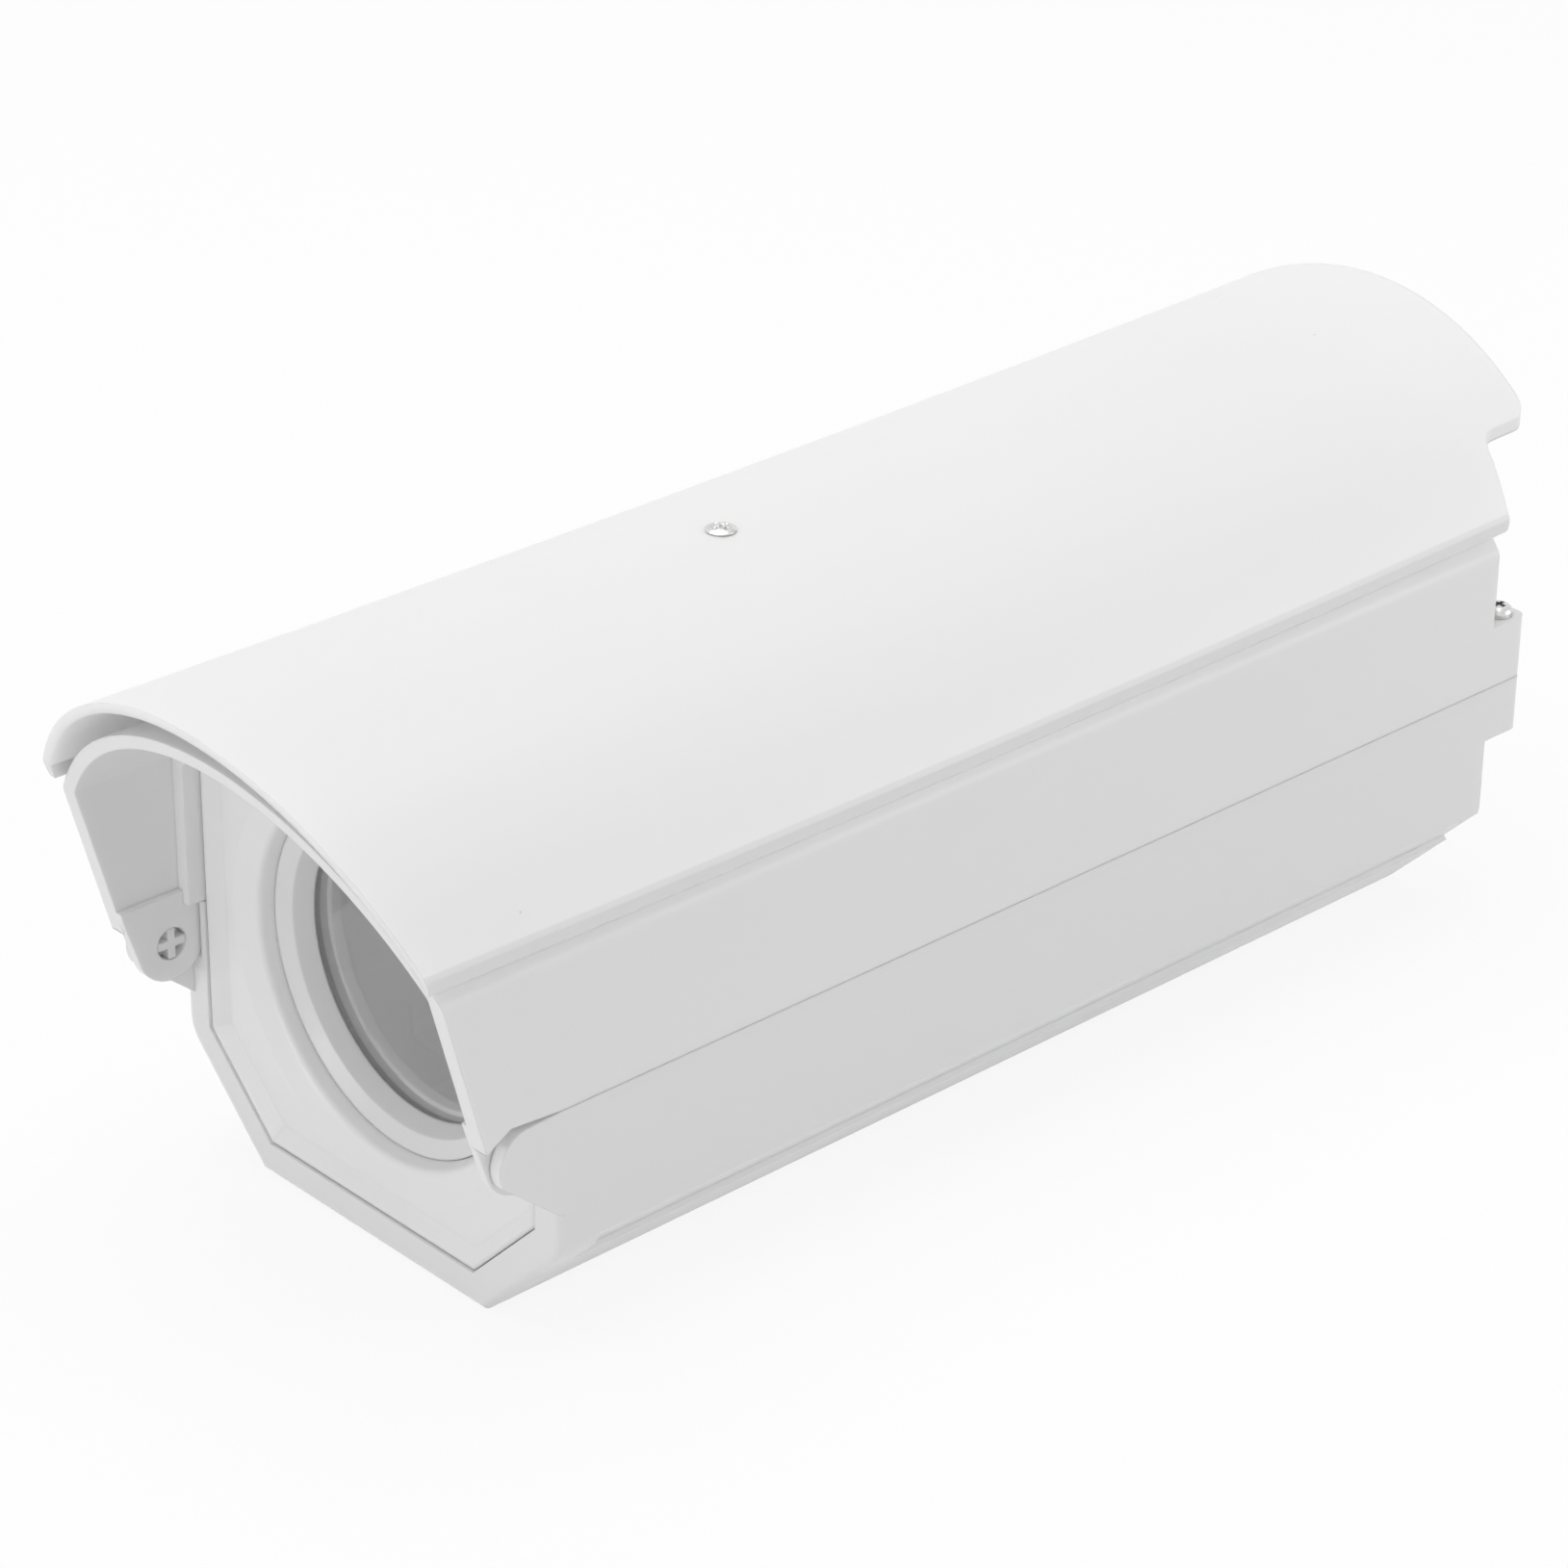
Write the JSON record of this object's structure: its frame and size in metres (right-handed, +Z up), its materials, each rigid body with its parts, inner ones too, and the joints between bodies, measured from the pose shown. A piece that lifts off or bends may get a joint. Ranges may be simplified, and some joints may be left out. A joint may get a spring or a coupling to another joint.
{
  "type": "security camera housing",
  "caption": "Long outdoor camera housing with a round front window, a hinged hooded cover and a bowed sunshield above it.",
  "frame": {"origin": "centre of the bounding box at the flat underside of the lower shell", "axes": "+Y from the window to the rear along the housing, +Z up, +X to the side; the window looks along -Y"},
  "size_m": [0.1008, 0.2828, 0.1104],
  "materials": {
    "housing_plastic": "fine satin moulded surface",
    "window_glass": "clear, polished",
    "rubber": "matt",
    "silicone": "pale, matt",
    "steel": "bright zinc plated",
    "brass": "turned, knurled",
    "tray_metal": "plain rolled sheet",
    "gland_plastic": "satin nylon"
  },
  "bodies": {
    "base": {"base_shell": "housing_plastic", "window_plate": "housing_plastic", "window_ring": "housing_plastic", "window_glass": "window_glass", "window_seal": "silicone", "window_screws": "steel", "joint_seal": "silicone", "closing_inserts": "brass", "camera_tray": "tray_metal", "tray_screws": "steel", "bracket_plate": "tray_metal", "bracket_plate_screws": "steel", "gland_body": "gland_plastic", "gland_cap": "gland_plastic", "gland_seal": "rubber", "gland_locknut": "gland_plastic"},
    "cover": {"upper_cover": "housing_plastic", "sunshield": "housing_plastic", "shield_screw": "steel", "shield_insert": "brass", "shield_washer": "rubber", "closing_screw_right": "steel", "closing_screw_left": "steel"},
    "camera_slider": {"camera_screw": "steel", "camera_washer": "rubber"}
  },
  "joints": [
    {"name": "cover_hinge", "type": "hinge", "parent": "base", "child": "cover", "pos_m": [0, -0.1128, 0.0408], "axis": [1, 0, 0], "range_deg": [0, 80]},
    {"name": "camera_slide", "type": "slide", "parent": "base", "child": "camera_slider", "axis": [0, 1, 0], "range_m": [-0.034, 0.044]}
  ]
}
